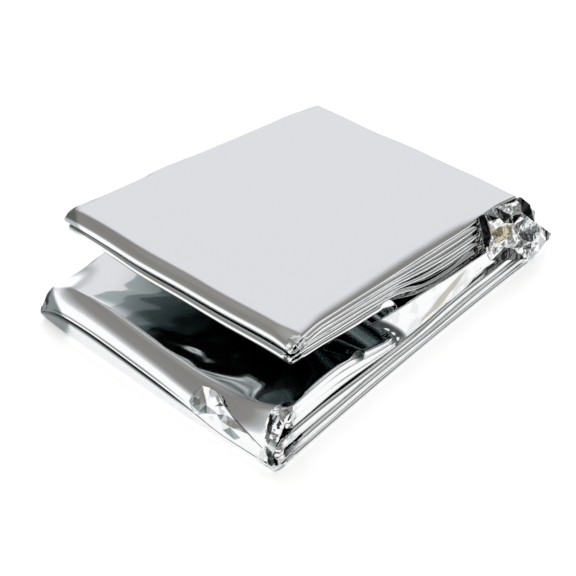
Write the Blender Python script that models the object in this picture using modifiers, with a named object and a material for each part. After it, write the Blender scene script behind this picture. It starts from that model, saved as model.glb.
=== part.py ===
"""Folded emergency foil blanket: a strip of plied film, folded back and forth into a lower and an upper pack."""

import math

import bmesh
import bpy

# Sizes in millimetres. X runs across the strip, Y from the front folds to the spine folds, Z up.
MM = 0.001
FILM_THICKNESS = 1.0
MOST_THICKNESS = 3.0
LEAF_COUNT = 14
LEAF_SPANS = 7
BEND_SPANS = 8
ACROSS_SPANS = 9
END_RAMP = 0.14

# Places across the strip where the front heights are given, and depths where all other heights are given.
FRONT_PARTS = (0.0, 0.2, 0.5, 0.7, 0.85, 1.0)
DEPTHS = (-58.0, -36.0, -11.0, 7.0, 28.0, 52.0)
SIDE_POWERS = (1.0, 1.8, 1.0, 1.0, 1.0, 1.0)

# Height of the middle of a leaf along the front. Leaves without a row lie evenly between the nearest rows.
FRONT_HEIGHTS = {
    1: (0.5, 0.5, 0.5, 0.5, 0.5, 0.5),
    5: (5.9, 6.4, 6.4, 6.4, 7.0, 8.2),
    7: (8.6, 12.0, 12.0, 10.9, 12.3, 15.8),
    8: (10.0, 15.0, 14.9, 13.3, 15.6, 20.4),
    9: (26.0, 25.4, 25.6, 26.0, 26.2, 26.6),
    10: (27.2, 26.9, 27.1, 27.5, 27.7, 28.0),
    11: (28.4, 28.4, 28.6, 28.9, 29.1, 29.4),
    14: (32.2, 32.9, 33.3, 33.4, 33.5, 33.6),
}
# leaf: heights at the left edge at the further depths, then heights at the right edge
INNER_HEIGHTS = {
    1: ((0.5, 0.5, 0.5, 0.5, 0.5), (0.5, 0.5, 0.5, 0.5, 0.5)),
    5: ((6.0, 6.0, 6.2, 6.8, 7.4), (8.0, 6.9, 6.9, 7.6, 8.6)),
    7: ((9.6, 10.4, 12.2, 12.0, 11.4), (14.6, 9.9, 13.6, 13.4, 12.4)),
    8: ((11.6, 13.8, 14.0, 13.4, 13.0), (18.6, 12.3, 14.6, 14.6, 14.0)),
    9: ((24.5, 21.9, 16.0, 14.8, 13.6), (24.8, 21.4, 16.0, 15.2, 14.6)),
    10: ((25.9, 24.0, 17.6, 16.2, 14.9), (26.2, 23.6, 17.6, 16.6, 15.6)),
    11: ((27.2, 25.4, 20.6, 18.8, 16.8), (27.5, 25.0, 20.6, 19.2, 17.9)),
    14: ((31.0, 29.1, 27.5, 25.3, 23.2), (31.6, 29.0, 27.5, 25.3, 23.5)),
}
# Thickness of the plied strip where its plies stand apart, at all depths, at the left and the right edge.
PUFFED_LEAVES = {
    5: ((1.0, 1.0, 1.0, 1.2, 1.2, 1.1), (1.3, 1.2, 1.0, 1.4, 1.2, 1.2)),
    6: ((1.0, 1.1, 1.2, 2.2, 1.8, 1.2), (2.2, 1.8, 1.1, 2.6, 2.2, 1.4)),
    7: ((1.2, 1.4, 1.4, 2.4, 2.2, 1.6), (2.6, 2.2, 1.1, 2.8, 2.4, 1.6)),
    8: ((1.2, 1.2, 1.1, 1.0, 1.0, 1.0), (2.2, 2.2, 1.1, 1.0, 1.0, 1.0)),
    10: ((1.0, 1.0, 1.0, 2.6, 2.2, 1.4), (1.0, 1.0, 1.0, 2.4, 2.2, 1.4)),
    11: ((1.0, 1.0, 1.0, 1.8, 1.6, 1.2), (1.0, 1.0, 1.0, 1.8, 1.5, 1.2)),
    12: ((1.0, 1.0, 1.0, 1.5, 1.6, 1.4), (1.0, 1.0, 1.0, 1.5, 1.4, 1.2)),
}
# leaf: left edge at the front and at the spine, right edge at the front and at the spine
LEAF_EDGES = {
    1: (-44.9, -43.6, 43.8, 43.2),
    2: (-44.2, -43.0, 43.3, 42.6),
    3: (-43.4, -43.4, 43.9, 43.4),
    4: (-44.1, -42.8, 43.0, 42.2),
    5: (-43.6, -43.5, 43.7, 43.3),
    6: (-44.0, -42.6, 42.7, 42.0),
    7: (-43.3, -43.2, 43.4, 42.5),
    8: (-44.6, -42.8, 43.8, 42.0),
    9: (-45.9, -42.0, 40.0, 40.6),
    10: (-45.2, -42.4, 39.2, 40.2),
    11: (-45.6, -41.6, 38.7, 40.4),
    12: (-45.0, -42.0, 39.3, 39.8),
    13: (-45.3, -41.2, 38.6, 39.4),
    14: (-44.9, -41.4, 38.9, 39.2),
}
CORNER_TAPER = 3.4
CORNER_START = 33.0
LOWER_WAIST = 0.9

# Each fold joins a low and a high leaf. It starts at the base depths and bulges beyond them by its reach.
# (low, high): low_left, low_right, high_left, high_right, reach_left, reach_right, squareness
FRONT_FOLDS = {
    (1, 8): (-59.4, -58.9, -58.1, -56.9, 5.3, 5.8, 2.7),
    (2, 5): (-59.2, -58.9, -59.2, -58.9, 3.3, 3.7, 2.1),
    (3, 4): (-59.1, -58.4, -59.1, -58.4, 0.8, 1.0, 2.0),
    (6, 7): (-60.1, -58.4, -60.1, -58.4, 0.8, 2.6, 2.0),
    (9, 10): (-48.7, -48.3, -48.7, -48.3, 0.7, 0.7, 2.0),
    (11, 14): (-46.7, -46.3, -46.7, -46.3, 2.8, 2.9, 2.2),
    (12, 13): (-47.3, -46.9, -47.3, -46.9, 0.7, 0.7, 2.0),
}
SPINE_FOLDS = {
    (8, 9): (-14.0, -14.6, -15.0, -15.6, 4.6, 4.8, 2.2),
    (7, 10): (38.0, 38.0, 37.0, 37.0, 2.4, 2.4, 2.0),
    (6, 11): (42.0, 43.0, 40.0, 41.0, 3.6, 3.8, 2.2),
    (5, 12): (49.5, 52.8, 44.5, 48.8, 4.2, 5.8, 2.3),
    (2, 3): (56.0, 63.0, 56.0, 63.0, 1.2, 1.5, 2.0),
    (13, 14): (48.6, 49.4, 48.4, 49.2, 1.2, 1.2, 2.0),
}
FREE_ENDS = {1: (55.0, 56.0), 4: (51.0, 53.0)}

FOIL_COLOUR = (0.86, 0.87, 0.89, 1.0)


def between(start, end, part):
    return start + (end - start) * part


def side_part(x):
    """0 at the left edge of the strip and 1 at the right edge."""
    return min(1.0, max(0.0, (x + 44.0) / 88.0))


def smooth_row(marks, values, at):
    """The value at one place of a smooth curve through the given values."""
    last = len(marks) - 1
    index = max(0, min(last - 1, sum(mark <= at for mark in marks) - 1))
    rises = [(values[i + 1] - values[i]) / (marks[i + 1] - marks[i]) for i in range(last)]
    slopes = [rises[0]] + [0.5 * (a + b) for a, b in zip(rises, rises[1:])] + [rises[-1]]
    width = marks[index + 1] - marks[index]
    step = (at - marks[index]) / width
    if step < 0.0 or step > 1.0:
        side = 0 if step < 0.0 else last
        return values[side] + slopes[side] * (at - marks[side])
    rest = 1.0 - step
    start, end = values[index], values[index + 1]
    ease = step * step * (3.0 - 2.0 * step)
    bend = slopes[index] * step * rest * rest - slopes[index + 1] * step * step * rest
    return between(start, end, ease) + bend * width


def table_height(leaf, x, y):
    part = side_part(x)
    lefts, rights = INNER_HEIGHTS[leaf]
    heights = [smooth_row(FRONT_PARTS, FRONT_HEIGHTS[leaf], part)]
    for left, right, power in zip(lefts, rights, SIDE_POWERS[1:]):
        heights.append(between(left, right, part**power))
    return smooth_row(DEPTHS, heights, y)


def leaf_height(leaf, x, y):
    """Height of the middle of a leaf, with the whole stack gently uneven above the flat lowest leaf."""
    given = sorted(INNER_HEIGHTS)
    low = max(number for number in given if number <= leaf)
    high = min(number for number in given if number >= leaf)
    height = table_height(low, x, y)
    if high != low:
        height = between(height, table_height(high, x, y), (leaf - low) / (high - low))
    rise = 0.010 * math.sin(0.071 * x + 0.9) * math.cos(0.043 * y - 0.4)
    return height + rise * (height - FILM_THICKNESS / 2)


def leaf_thickness(leaf, part, y, along):
    """Thickness of the strip in a leaf, down to the film's own near both ends of the leaf."""
    if leaf not in PUFFED_LEAVES:
        return FILM_THICKNESS
    lefts, rights = PUFFED_LEAVES[leaf]
    sizes = [between(left, right, part) for left, right in zip(lefts, rights)]
    ramp = min(1.0, along / END_RAMP, (1.0 - along) / END_RAMP)
    full = smooth_row(DEPTHS, sizes, y)
    return min(MOST_THICKNESS, between(FILM_THICKNESS, full, ramp))


def strip_x(leaf, part, y):
    left_front, left_spine, right_front, right_spine = LEAF_EDGES[leaf]
    way = (y - DEPTHS[0]) / (DEPTHS[-1] - DEPTHS[0])
    left = between(left_front, left_spine, way)
    right = between(right_front, right_spine, way)
    corner = min(1.0, max(0.0, (y - CORNER_START) / (DEPTHS[-1] - CORNER_START)))
    left += CORNER_TAPER * corner * corner * (1.0 if leaf > 11 else 0.5)
    if leaf < 9:
        right -= LOWER_WAIST * math.sin(math.pi * way)
    return between(left, right, part)


def edge_wave(x, spine):
    if spine:
        return 0.35 * math.sin(0.09 * x + 0.6) + 0.2 * math.sin(0.21 * x + 2.0)
    return 0.3 * math.sin(0.08 * x - 0.8) + 0.15 * math.sin(0.19 * x + 1.0)


def leaf_end(leaf, part, spine):
    """Depth at which a leaf ends, at this part of its width."""
    folds = SPINE_FOLDS if spine else FRONT_FOLDS
    wave = edge_wave(between(-44.0, 44.0, part), spine)
    for (low, high), sizes in folds.items():
        if leaf == low:
            return between(sizes[0], sizes[1], part) + wave
        if leaf == high:
            return between(sizes[2], sizes[3], part) + wave
    left, right = FREE_ENDS[leaf]
    return between(left, right, part) + wave


def leaf_point(leaf, part, along):
    """A point of a leaf and its thickness: part runs from left to right, along from the front to the spine."""
    y = between(leaf_end(leaf, part, False), leaf_end(leaf, part, True), along)
    x = strip_x(leaf, part, y)
    return (x, y, leaf_height(leaf, x, y), leaf_thickness(leaf, part, y, along))


def fold_points(first, second, part, spine):
    """The points inside the fold that leads from one leaf to the next."""
    folds = SPINE_FOLDS if spine else FRONT_FOLDS
    sizes = folds[(min(first, second), max(first, second))]
    reach = between(sizes[4], sizes[5], part) * (1 if spine else -1)
    power = 2.0 / sizes[6]
    start = leaf_point(first, part, 1.0 if spine else 0.0)
    end = leaf_point(second, part, 1.0 if spine else 0.0)
    points = []
    for step in range(1, BEND_SPANS):
        angle = math.pi * (step / BEND_SPANS - 0.5)
        share = 0.5 + 0.5 * math.copysign(abs(math.sin(angle)) ** power, angle)
        out = reach * math.cos(angle) ** power
        x, y, z = (between(start[axis], end[axis], share) for axis in range(3))
        points.append((x, y + out, z, FILM_THICKNESS))
    return points


def strip_order():
    """The leaves in the order in which the strip runs through them, from the lowest leaf."""
    front = {leaf: pair for pair in FRONT_FOLDS for leaf in pair}
    spine = {leaf: pair for pair in SPINE_FOLDS for leaf in pair}
    order = [1]
    at_front = True
    while len(order) < LEAF_COUNT:
        pair = (front if at_front else spine)[order[-1]]
        order.append(pair[0] if order[-1] == pair[1] else pair[1])
        at_front = not at_front
    return order


def strip_line(part):
    """The middle line of the strip at this part of its width, from its one free end to the other."""
    order = strip_order()
    line = []
    for index, leaf in enumerate(order):
        to_front = index % 2 == 0
        for step in range(LEAF_SPANS + 1):
            along = step / LEAF_SPANS
            line.append(leaf_point(leaf, part, 1.0 - along if to_front else along))
        if index + 1 < len(order):
            line.extend(fold_points(leaf, order[index + 1], part, not to_front))
    return line


def foil_material():
    material = bpy.data.materials.new("foil")
    material.use_nodes = True
    shader = material.node_tree.nodes["Principled BSDF"]
    shader.inputs["Base Color"].default_value = FOIL_COLOUR
    shader.inputs["Metallic"].default_value = 1.0
    shader.inputs["Roughness"].default_value = 0.16
    return material


def strip_object(name):
    """The folded strip: its middle surface as an open mesh, made thick by its film and puffed plies."""
    lines = [strip_line(index / ACROSS_SPANS) for index in range(ACROSS_SPANS + 1)]
    surface = bmesh.new()
    columns = []
    for line in lines:
        columns.append([surface.verts.new([value * MM for value in point[:3]]) for point in line])
    for left, right in zip(columns, columns[1:]):
        for row in range(len(left) - 1):
            surface.faces.new((left[row], left[row + 1], right[row + 1], right[row]))
    bmesh.ops.recalc_face_normals(surface, faces=surface.faces)
    mesh = bpy.data.meshes.new(name)
    surface.to_mesh(mesh)
    surface.free()
    strip = bpy.data.objects.new(name, mesh)
    plump = strip.vertex_groups.new(name="thickness")
    for index, point in enumerate(point for line in lines for point in line):
        plump.add([index], point[3] / MOST_THICKNESS, "REPLACE")
    film = strip.modifiers.new("strip thickness", "SOLIDIFY")
    film.thickness = MOST_THICKNESS * MM
    film.offset = 0.0
    film.use_even_offset = True
    film.vertex_group = plump.name
    return strip


def centre_on_ground(thing):
    """Moves the mesh so that its box stands on the ground, centred on the origin."""
    bpy.context.view_layer.update()
    solid = thing.evaluated_get(bpy.context.evaluated_depsgraph_get()).to_mesh()
    places = [vertex.co for vertex in solid.vertices]
    lows = [min(place[axis] for place in places) for axis in range(3)]
    highs = [max(place[axis] for place in places) for axis in range(3)]
    shift = (-(lows[0] + highs[0]) / 2, -(lows[1] + highs[1]) / 2, -lows[2])
    for vertex in thing.data.vertices:
        vertex.co = [vertex.co[axis] + shift[axis] for axis in range(3)]


def build():
    for thing in list(bpy.data.objects):
        bpy.data.objects.remove(thing, do_unlink=True)
    group = bpy.data.collections.new("emergency_foil_blanket")
    bpy.context.scene.collection.children.link(group)
    blanket = strip_object("foil_blanket")
    blanket.data.materials.append(foil_material())
    group.objects.link(blanket)
    centre_on_ground(blanket)


build()
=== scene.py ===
"""Looks of the folded emergency foil blanket: the plied strip with its creases and crumples, floor, light and camera."""

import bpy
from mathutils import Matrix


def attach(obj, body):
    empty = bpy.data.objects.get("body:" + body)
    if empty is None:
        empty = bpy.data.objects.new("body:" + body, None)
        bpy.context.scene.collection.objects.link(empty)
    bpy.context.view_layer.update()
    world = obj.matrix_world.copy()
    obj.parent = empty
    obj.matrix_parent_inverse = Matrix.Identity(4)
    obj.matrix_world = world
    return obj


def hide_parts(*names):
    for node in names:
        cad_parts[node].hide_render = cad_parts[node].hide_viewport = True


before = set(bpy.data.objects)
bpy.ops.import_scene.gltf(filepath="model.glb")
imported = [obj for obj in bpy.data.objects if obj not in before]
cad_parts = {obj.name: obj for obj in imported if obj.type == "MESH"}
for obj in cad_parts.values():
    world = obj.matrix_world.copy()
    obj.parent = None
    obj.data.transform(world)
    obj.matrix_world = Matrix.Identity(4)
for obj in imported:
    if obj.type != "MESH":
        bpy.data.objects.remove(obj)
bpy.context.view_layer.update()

import math

import bpy
import numpy as np
from mathutils import Vector

# Sizes in millimetres, in the part's own frame once PACK_SHIFT is added.
MM = 0.001
PACK_SHIFT = np.array((0.82, 0.22, 0.0))
FILM_HALF = 0.5
GAP_HALF = 0.07

# Grid of the strip: columns on its outer and inner side and round each rim, rows along each leaf and fold.
# Columns are closer together at the crumpled right end of the front: each row is (from, columns up to the next).
COLUMN_ZONES = ((0.0, 14), (0.12, 27), (0.64, 42), (0.93, 9), (1.0, 0))
INNER_COLUMNS = 14
RIM_COLUMNS = 15
LEAF_ROWS = {1: 24, 8: 56, 9: 36, 14: 50}
HIDDEN_LEAF_ROWS = 32
TOP_ROWS_WARP = 0.72
FOLD_ROWS = {(1, 8): 42, (11, 14): 18, (5, 12): 18, (8, 9): 16}
HIDDEN_FOLD_ROWS = 9

# Heights of the leaves' middles, as in the part's source.
FRONT_PARTS = (0.0, 0.08, 0.2, 0.5, 0.7, 0.85, 1.0)
DEPTHS = (-58.0, -36.0, -11.0, 7.0, 28.0, 52.0)
SIDE_POWERS = (1.0, 1.8, 1.0, 1.0, 1.0, 1.0)
FRONT_HEIGHTS = {
    1: (0.5, 0.5, 0.5, 0.5, 0.5, 0.5, 0.5),
    5: (5.7, 6.1, 6.4, 6.4, 6.4, 7.0, 8.2),
    7: (7.4, 10.4, 12.0, 11.7, 10.7, 11.8, 15.2),
    8: (10.2, 13.4, 15.0, 13.7, 13.1, 13.9, 18.9),
    9: (26.0, 25.7, 25.4, 25.6, 26.0, 26.2, 26.6),
    10: (27.2, 27.0, 26.9, 27.1, 27.5, 27.7, 28.0),
    11: (28.4, 28.4, 28.4, 28.6, 28.9, 29.1, 29.4),
    14: (32.2, 32.5, 32.9, 33.3, 33.4, 33.5, 33.6),
}
INNER_HEIGHTS = {
    1: ((0.5, 0.5, 0.5, 0.5, 0.5), (0.5, 0.5, 0.5, 0.5, 0.5)),
    5: ((6.0, 6.0, 6.2, 6.8, 7.4), (8.0, 6.9, 6.9, 7.6, 8.6)),
    7: ((9.6, 10.4, 12.2, 12.0, 11.4), (14.6, 9.9, 13.6, 13.4, 12.4)),
    8: ((11.6, 13.8, 14.0, 13.4, 13.0), (18.6, 12.3, 14.6, 14.6, 14.0)),
    9: ((24.5, 21.9, 16.0, 14.8, 13.6), (24.8, 21.4, 16.0, 15.2, 14.6)),
    10: ((25.9, 24.0, 17.6, 16.2, 14.9), (26.2, 23.6, 17.6, 16.6, 15.6)),
    11: ((27.2, 25.4, 20.6, 18.8, 16.8), (27.5, 25.0, 20.6, 19.2, 17.9)),
    14: ((31.0, 29.1, 27.5, 25.3, 23.2), (31.6, 29.0, 27.5, 25.3, 23.5)),
}
LEAF_EDGES = {
    1: (-46.3, -43.6, 43.8, 43.2),
    2: (-44.2, -43.0, 43.3, 42.6),
    3: (-43.4, -43.4, 43.9, 43.4),
    4: (-44.1, -42.8, 43.0, 42.2),
    5: (-43.6, -43.5, 43.7, 43.3),
    6: (-44.0, -42.6, 42.7, 42.0),
    7: (-43.3, -43.2, 43.4, 42.5),
    8: (-44.9, -42.8, 43.8, 42.0),
    9: (-45.6, -42.0, 37.8, 41.0),
    10: (-45.6, -42.4, 37.5, 40.4),
    11: (-47.0, -41.6, 37.3, 39.6),
    12: (-46.6, -42.0, 37.0, 38.4),
    13: (-46.2, -41.2, 36.7, 37.2),
    14: (-45.4, -41.8, 36.2, 36.0),
}
# The upper leaves' right edges flare out again at their two ends.
FLARE = 1.3
CORNER_TAPER = 3.4
CORNER_START = 33.0
LOWER_WAIST = 0.9
FRONT_FOLDS = {
    (1, 8): (-59.4, -58.9, -58.1, -56.9, 5.3, 5.8, 2.7),
    (2, 5): (-59.2, -58.0, -59.2, -57.6, 3.3, 1.9, 2.1),
    (3, 4): (-59.1, -58.4, -59.1, -58.4, 0.8, 1.0, 2.0),
    (6, 7): (-57.4, -54.2, -57.2, -52.8, 0.8, 1.5, 2.0),
    (9, 10): (-49.4, -49.1, -49.4, -49.1, 0.7, 0.7, 2.0),
    (11, 14): (-47.6, -46.2, -46.5, -45.0, 3.8, 3.6, 2.0),
    (12, 13): (-48.6, -46.7, -48.4, -46.5, 0.7, 0.7, 2.0),
}
SPINE_FOLDS = {
    (8, 9): (-14.0, -14.6, -15.0, -15.6, 4.6, 4.8, 2.2),
    (7, 10): (38.0, 38.0, 37.0, 37.0, 2.4, 2.4, 2.0),
    (6, 11): (42.0, 43.0, 40.0, 41.0, 3.6, 3.8, 2.2),
    (5, 12): (49.5, 52.8, 44.5, 48.8, 4.2, 5.8, 2.3),
    (2, 3): (56.0, 63.0, 56.0, 63.0, 1.2, 1.5, 2.0),
    (13, 14): (48.6, 49.4, 48.4, 49.2, 1.2, 1.2, 2.0),
}
FREE_ENDS = {1: (55.0, 56.0), 4: (51.0, 53.0)}
STRIP_ORDER = (1, 8, 9, 10, 7, 6, 11, 14, 13, 12, 5, 2, 3, 4)

# Plies puff up at the rims until the leaves nearly touch: the rim's reach, how far in it swells, and its largest half.
RIM_REACH = 0.9
RIM_BLEND = 5.0
MOST_RIM_HALF = 4.5
INNER_HALF = 0.8
# Open sides, which keep the film's own thickness.
OPEN_SIDES = ((1, False), (8, True), (9, False), (14, True))
# Largest half thickness of each fold's rims, on its bulging and on its hollow side.
FOLD_RIMS = {
    (1, 8): (0.5, 1.3),
    (2, 5): (1.6, 1.0),
    (3, 4): (1.0, 0.5),
    (6, 7): (1.7, 1.7),
    (8, 9): (2.2, 0.8),
    (9, 10): (0.5, 0.5),
    (11, 14): (0.5, 0.9),
    (12, 13): (0.5, 0.5),
    (7, 10): (1.4, 1.8),
    (6, 11): (1.6, 0.9),
    (5, 12): (0.5, 2.6),
    (2, 3): (0.5, 0.5),
    (13, 14): (0.5, 0.5),
}
# The top leaf and those under it droop at their edges: by how much, how far in, and each leaf's share.
EDGE_DROOPS = (("right", 1.5, 7.0), ("left", 0.5, 4.0), ("spine", 0.3, 5.0))
DROOP_SHARES = {14: 1.0, 13: 0.7, 12: 0.4, 11: 0.15}
# Behind this depth the loops' right edges draw in under the crumpled flap.
DRAW_IN_START = 31.5
DRAW_IN = 3.0

# The lower pack's front face: where its crease is, and how steeply it looks up from the crease to the ridge, in
# degrees, at places along the face. Each row of angles is at one of FACE_PARTS across the front.
FACE_STEPS = (0.0, 0.12, 0.26, 0.42, 0.58, 0.76, 0.92, 1.0)
FACE_PARTS = (0.0, 0.08, 0.2, 0.5, 0.68, 0.8, 1.0)
CREASE_HEIGHTS = (3.2, 6.9, 8.6, 7.6, 6.6, 5.2, 4.2)
FACE_ANGLES = (
    (62.0, 50.0, 40.0, 38.0, 42.0, 56.0, 70.0, 84.0),
    (60.0, 36.0, 26.0, 28.0, 34.0, 42.0, 54.0, 82.0),
    (58.0, 26.0, 20.0, 23.0, 30.0, 38.0, 48.0, 80.0),
    (56.0, 24.0, 18.0, 21.0, 29.0, 38.0, 48.0, 80.0),
    (30.0, 16.0, 14.0, 20.0, 30.0, 38.0, 48.0, 80.0),
    (8.0, 12.0, 15.0, 22.0, 34.0, 40.0, 46.0, 78.0),
    (8.0, 12.0, 22.0, 34.0, 38.0, 40.0, 46.0, 76.0),
)
RIDGE_DEPTHS = (-58.6, -58.4, -58.3, -58.2, -57.8, -57.2, -56.2)
CREASE_DEPTHS = (-63.2, -63.6, -63.8, -63.8, -64.0, -64.0, -62.8)
FOOT_DEPTHS = (-62.6, -63.0, -63.2, -63.2, -63.2, -62.9, -61.8)
# The crease hangs over a narrow groove, and the face's right edge stands back from the side.
GROOVE_DEPTH = 1.1
GROOVE_HEIGHT = 0.4
FACE_INSET = 0.8


def between(start, end, part):
    return start + (end - start) * part


def smooth_step(low, high, at):
    """0 at low and 1 at high, with a smooth change between."""
    part = np.clip((at - low) / (high - low), 0.0, 1.0)
    return part * part * (3.0 - 2.0 * part)


def smooth_row(marks, values, at):
    """The value at each place of a smooth curve through the given values."""
    marks = np.array(marks)
    at = np.asarray(at, float)
    values = [np.broadcast_to(np.asarray(value, float), at.shape) for value in values]
    last = len(marks) - 1
    rises = [(values[i + 1] - values[i]) / (marks[i + 1] - marks[i]) for i in range(last)]
    slopes = [rises[0]] + [0.5 * (a + b) for a, b in zip(rises, rises[1:])] + [rises[-1]]
    found = values[0] + slopes[0] * (at - marks[0])
    for i in range(last):
        width = marks[i + 1] - marks[i]
        step = (at - marks[i]) / width
        rest = 1.0 - step
        ease = step * step * (3.0 - 2.0 * step)
        bend = slopes[i] * step * rest * rest - slopes[i + 1] * step * step * rest
        piece = between(values[i], values[i + 1], ease) + bend * width
        found = np.where(at >= marks[i], piece, found)
    return np.where(at > marks[-1], values[-1] + slopes[-1] * (at - marks[-1]), found)


def table_height(leaf, x, y):
    part = np.clip((x + 44.0) / 88.0, 0.0, 1.0)
    lefts, rights = INNER_HEIGHTS[leaf]
    heights = [smooth_row(FRONT_PARTS, FRONT_HEIGHTS[leaf], part)]
    for left, right, power in zip(lefts, rights, SIDE_POWERS[1:]):
        heights.append(between(left, right, part**power))
    return smooth_row(DEPTHS, heights, y)


def leaf_height(leaf, x, y):
    given = sorted(INNER_HEIGHTS)
    low = max(number for number in given if number <= leaf)
    high = min(number for number in given if number >= leaf)
    height = table_height(low, x, y)
    if high != low:
        height = between(height, table_height(high, x, y), (leaf - low) / (high - low))
    rise = 0.010 * np.sin(0.071 * x + 0.9) * np.cos(0.043 * y - 0.4)
    return height + rise * (height - FILM_HALF)


def strip_x(leaf, part, y):
    left_front, left_spine, right_front, right_spine = LEAF_EDGES[leaf]
    way = (y - DEPTHS[0]) / (DEPTHS[-1] - DEPTHS[0])
    left = between(left_front, left_spine, way)
    right = between(right_front, right_spine, way)
    corner = np.clip((y - CORNER_START) / (DEPTHS[-1] - CORNER_START), 0.0, 1.0)
    left = left + CORNER_TAPER * corner * corner * (1.0 if leaf > 11 else 0.5)
    if leaf < 9:
        right = right - LOWER_WAIST * np.sin(math.pi * way)
    if leaf > 11:
        right = right + FLARE * (1.0 - smooth_step(-48.0, -36.0, y) + smooth_step(40.0, 52.0, y))
    return between(left, right, part)


def edge_wave(x, spine):
    if spine:
        return 0.35 * np.sin(0.09 * x + 0.6) + 0.2 * np.sin(0.21 * x + 2.0)
    return 0.3 * np.sin(0.08 * x - 0.8) + 0.15 * np.sin(0.19 * x + 1.0)


def leaf_end(leaf, part, spine):
    folds = SPINE_FOLDS if spine else FRONT_FOLDS
    wave = edge_wave(between(-44.0, 44.0, part), spine)
    if leaf == 8 and not spine:
        return smooth_row(FACE_PARTS, RIDGE_DEPTHS, part)
    for (low, high), sizes in folds.items():
        if leaf == low:
            return between(sizes[0], sizes[1], part) + wave
        if leaf == high:
            return between(sizes[2], sizes[3], part) + wave
    left, right = FREE_ENDS[leaf]
    return between(left, right, part) + wave


def droop(leaf, x, y):
    """How far an upper leaf hangs at its edges."""
    if leaf not in DROOP_SHARES:
        return 0.0
    part = np.array((0.0, 1.0))
    spine = leaf_end(leaf, part, True).mean()
    inward = {
        "right": strip_x(leaf, 1.0, y) - x,
        "left": x - strip_x(leaf, 0.0, y),
        "spine": spine - y,
    }
    total = 0.0
    for side, depth, reach in EDGE_DROOPS:
        if side == "right":
            depth = depth * (1.0 - 0.65 * smooth_step(20.0, 44.0, y))
        total = np.maximum(total, depth * np.clip(1.0 - inward[side] / reach, 0.0, 1.3) ** 2)
    return total * DROOP_SHARES[leaf]


def leaf_rows(leaf, part, count):
    """Points of a leaf from its front end to its spine end: an array of rows by columns by 3."""
    along = np.linspace(0.0, 1.0, count)[:, None]
    if leaf == 14:
        along = along - TOP_ROWS_WARP * np.sin(2.0 * math.pi * along) / (2.0 * math.pi)
    y = between(leaf_end(leaf, part, False)[None, :], leaf_end(leaf, part, True)[None, :], along)
    x = strip_x(leaf, part[None, :], y)
    z = leaf_height(leaf, x, y) - droop(leaf, x, y)
    if 6 <= leaf <= 12:
        drawn = DRAW_IN * smooth_step(DRAW_IN_START, DRAW_IN_START + 2.5, y)
        x = x - drawn * smooth_step(0.8, 1.0, part)[None, :]
    return np.stack([x, y, z], axis=-1)


def fold_rows(first, second, part, spine, count):
    """Points inside the fold that leads from one leaf to the next."""
    sizes = (SPINE_FOLDS if spine else FRONT_FOLDS)[(min(first, second), max(first, second))]
    reach = between(sizes[4], sizes[5], part) * (1 if spine else -1)
    power = 2.0 / sizes[6]
    end_row = -1 if spine else 0
    start = leaf_rows(first, part, 2)[end_row]
    end = leaf_rows(second, part, 2)[end_row]
    rows = []
    for step in range(1, count):
        angle = math.pi * (step / count - 0.5)
        share = 0.5 + 0.5 * math.copysign(abs(math.sin(angle)) ** power, angle)
        row = between(start, end, share)
        row[:, 1] += reach * math.cos(angle) ** power
        rows.append(row)
    return np.array(rows)


def face_rows(part, count):
    """Points of the lower pack's front face: round the foot, up the low band, over the crease and up to the ridge."""
    foot = leaf_rows(1, part, 2)[0]
    ridge = leaf_rows(8, part, 2)[0]
    crease_y = smooth_row(FACE_PARTS, CREASE_DEPTHS, part)
    crease_z = smooth_row(FACE_PARTS, CREASE_HEIGHTS, part)
    foot_y = smooth_row(FACE_PARTS, FOOT_DEPTHS, part)
    inset = FACE_INSET * np.clip((part - 0.95) / 0.05, 0.0, 1.0) ** 2
    low_count = count // 4
    rows = []
    for step in range(1, low_count + 1):
        at = step / low_count
        turn = math.pi / 2 * min(at / 0.55, 1.0)
        rise = max(at - 0.55, 0.0) / 0.45
        y = foot[:, 1] + (foot_y - foot[:, 1]) * math.sin(turn) + (crease_y - foot_y) * rise
        z = foot[:, 2] + 1.4 * (1.0 - math.cos(turn)) + (crease_z - foot[:, 2] - 1.4 - GROOVE_HEIGHT) * rise
        rows.append(np.stack([foot[:, 0] - inset * math.sin(turn), y, z], axis=-1))
    fade = smooth_step(1.0, 0.7, part)
    for height, depth in ((0.0, 0.5), (0.2, 1.0), (0.8, 1.0), (1.0, 0.5), (1.0, 0.1)):
        z = crease_z - GROOVE_HEIGHT * (1.0 - height)
        y = crease_y + 0.2 + GROOVE_DEPTH * depth * fade
        rows.append(np.stack([foot[:, 0] - inset, y, z], axis=-1))
    fine = np.linspace(0.0, 1.0, 121)
    angles = []
    for column in range(len(FACE_STEPS)):
        values = [row[column] for row in FACE_ANGLES]
        angles.append(smooth_row(FACE_PARTS, values, part))
    angles = np.radians(smooth_row(FACE_STEPS, angles, fine[:, None] + 0.0 * part[None, :]))
    back = np.concatenate([np.zeros((1, len(part))), np.cumsum(np.sin(angles[1:]), axis=0)])
    up = np.concatenate([np.zeros((1, len(part))), np.cumsum(np.cos(angles[1:]), axis=0)])
    back, up = back / back[-1], up / up[-1]
    high_count = count - low_count - 5
    for step in range(1, high_count):
        at = round(120 * step / high_count)
        y = crease_y + (ridge[:, 1] - crease_y) * back[at]
        z = crease_z + (ridge[:, 2] - crease_z) * up[at]
        x = between(foot[:, 0] - inset, ridge[:, 0], step / high_count)
        rows.append(np.stack([x, y, z], axis=-1))
    return np.array(rows)


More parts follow.
